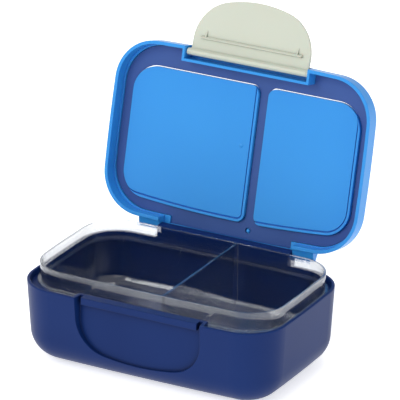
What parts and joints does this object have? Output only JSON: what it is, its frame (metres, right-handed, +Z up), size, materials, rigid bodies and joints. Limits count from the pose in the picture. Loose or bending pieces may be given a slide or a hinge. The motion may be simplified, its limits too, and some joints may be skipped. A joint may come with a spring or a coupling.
{
  "type": "bento lunch box",
  "caption": "Open bento lunch box: opaque tub with a clip recess, clear divided inner tray, hinged lid with window panels and a flat seal, and a wide D-shaped snap clip.",
  "frame": {"origin": "middle of the tub's footprint, on the surface that the feet stand on; the flat underside lies 1.2 mm above it", "axes": "+Z up, +X along the tub's length, the clip recess faces -Y and the lid hinge is at +Y"},
  "size_m": [0.202, 0.1776, 0.2263],
  "materials": {
    "navy_shell": "fine satin moulded polypropylene",
    "clear_tray": "clear polished copolyester",
    "blue_lid": "slightly translucent satin-gloss polypropylene",
    "seal": "matt silicone",
    "clip": "satin polypropylene",
    "pin_steel": "drawn wire",
    "foot_rubber": "soft matt"
  },
  "bodies": {
    "tub": {"base_box": "navy_shell", "tray": "clear_tray", "hinge_pin_right": "pin_steel", "hinge_pin_left": "pin_steel", "foot_front_left": "foot_rubber", "foot_front_right": "foot_rubber", "foot_rear_right": "foot_rubber", "foot_rear_left": "foot_rubber"},
    "lid": {"lid_shell": "blue_lid", "lid_seal": "seal", "clip_pin": "pin_steel"},
    "clip": {"clip": "clip"}
  },
  "joints": [
    {"name": "lid_hinge", "type": "hinge", "parent": "tub", "child": "lid", "pos_m": [0, 0.0673, 0.0644], "axis": [-1, 0, 0], "range_deg": [-104, 0]},
    {"name": "clip_hinge", "type": "hinge", "parent": "lid", "child": "clip", "pos_m": [0, 0.09679, 0.18763], "axis": [-1, 0, 0], "range_deg": [-97, 0]}
  ]
}
